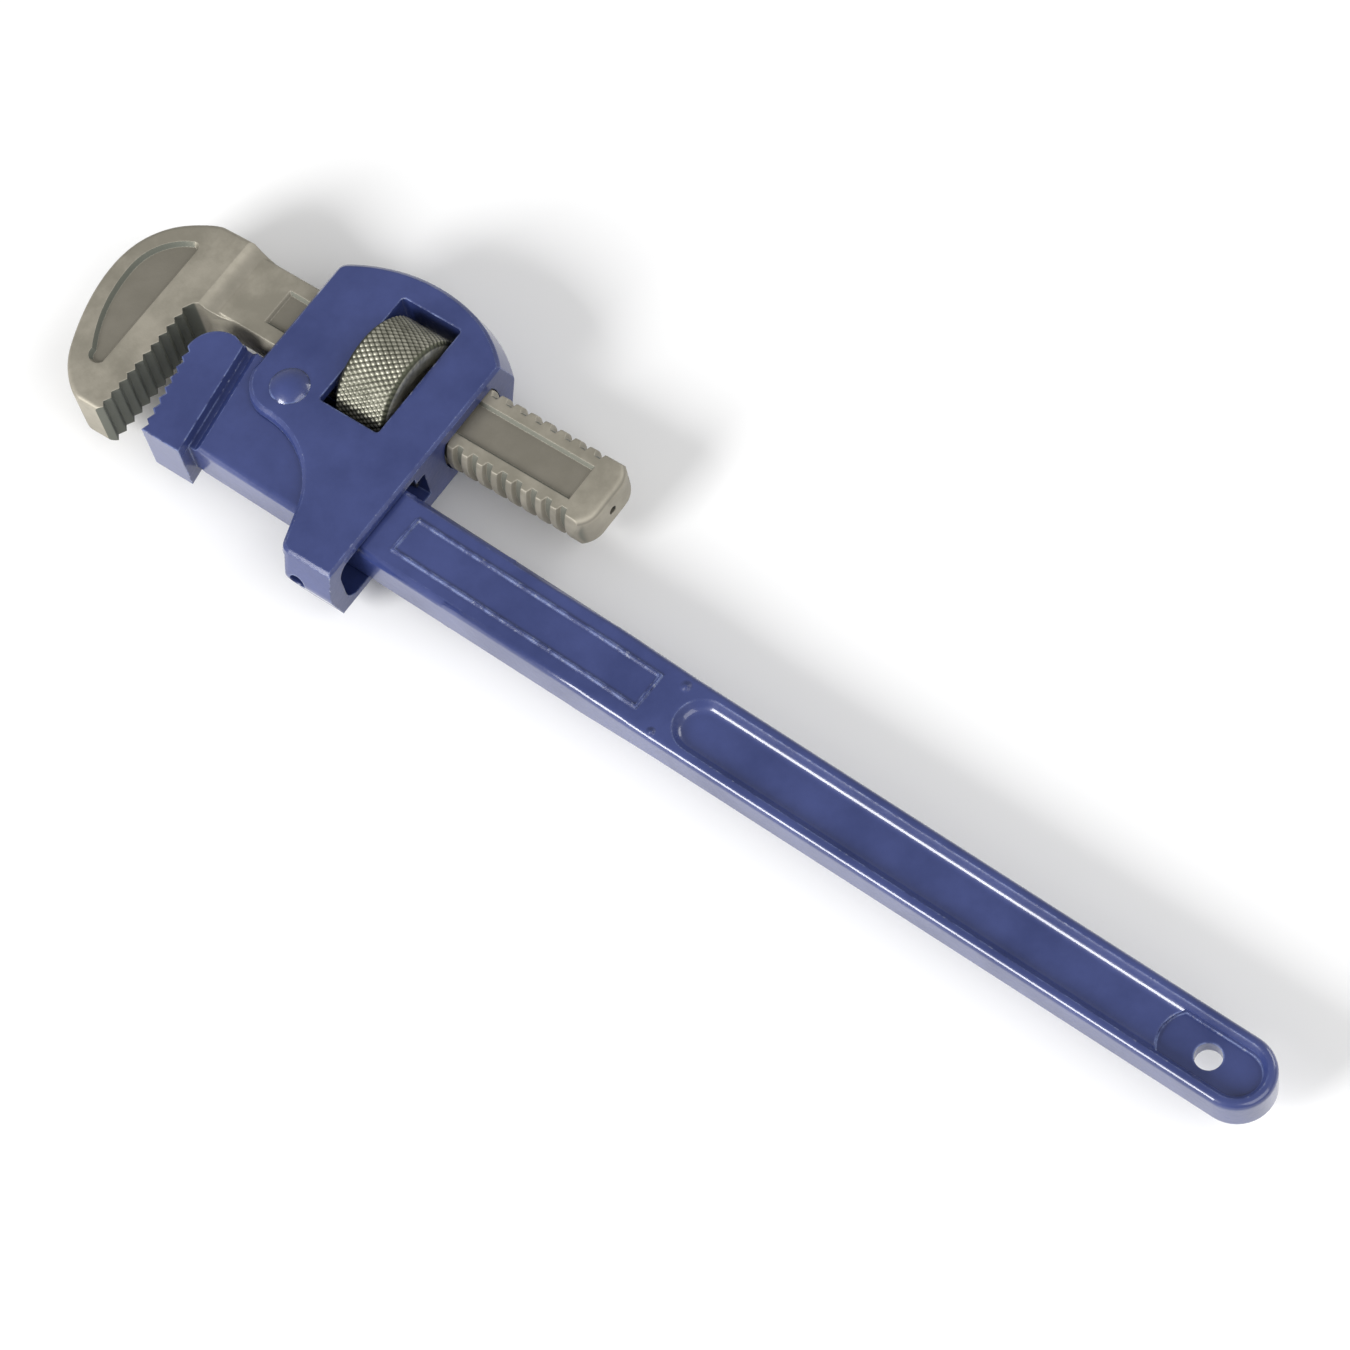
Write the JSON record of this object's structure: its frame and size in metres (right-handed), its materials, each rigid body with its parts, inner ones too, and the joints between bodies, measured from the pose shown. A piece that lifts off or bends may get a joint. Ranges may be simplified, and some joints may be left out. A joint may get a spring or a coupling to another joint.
{
  "type": "pipe wrench",
  "caption": "Adjustable pipe wrench of the Stillson pattern: long I-section handle with heel jaw, pivoting frame, sliding toothed hook jaw and knurled nut.",
  "frame": {"origin": "centre of the hang hole at the end of the handle, in the wrench's mid-plane", "axes": "+Y runs along the handle from the hang hole to the jaws, +X points to the side of the hook jaw's shank, +Z is square to the broad faces"},
  "size_m": [0.1039, 0.4509, 0.0396],
  "materials": {
    "blue_paint": "deep blue enamel, glossy, over a rough forging",
    "jaw_steel": "bare satin steel with a warm grey cast",
    "nut_steel": "knurled bare steel, slightly oily and darker",
    "spring_steel": "dark tempered steel"
  },
  "bodies": {
    "handle_body": {"handle": "blue_paint", "leaf_spring": "spring_steel", "leaf_spring_rivet": "spring_steel"},
    "frame_body": {"frame": "blue_paint", "pivot_rivet": "blue_paint", "coil_spring": "spring_steel"},
    "jaw_body": {"hook_jaw": "jaw_steel"},
    "nut_body": {"adjusting_nut": "nut_steel"}
  },
  "joints": [
    {"name": "frame_pivot", "type": "hinge", "parent": "handle_body", "child": "frame_body", "pos_m": [0.019, 0.3523, 0], "axis": [0, 0, 1], "range_deg": [-3, 3], "stiffness_Nm_per_rad": 8, "deforming": ["coil_spring", "leaf_spring"]},
    {"name": "jaw_slide", "type": "slide", "parent": "frame_body", "child": "jaw_body", "axis": [-0.0297, 0.9996, 0], "range_m": [-0.008, 0.05]},
    {"name": "nut_spin", "type": "hinge", "parent": "frame_body", "child": "nut_body", "pos_m": [0.04224, 0.33098, 0], "axis": [-0.0297, 0.9996, 0], "range_deg": [-3200, 520]}
  ],
  "couplings": [
    {"joint": "nut_spin", "follows": "jaw_slide", "rad_per_m": -1112.1}
  ]
}
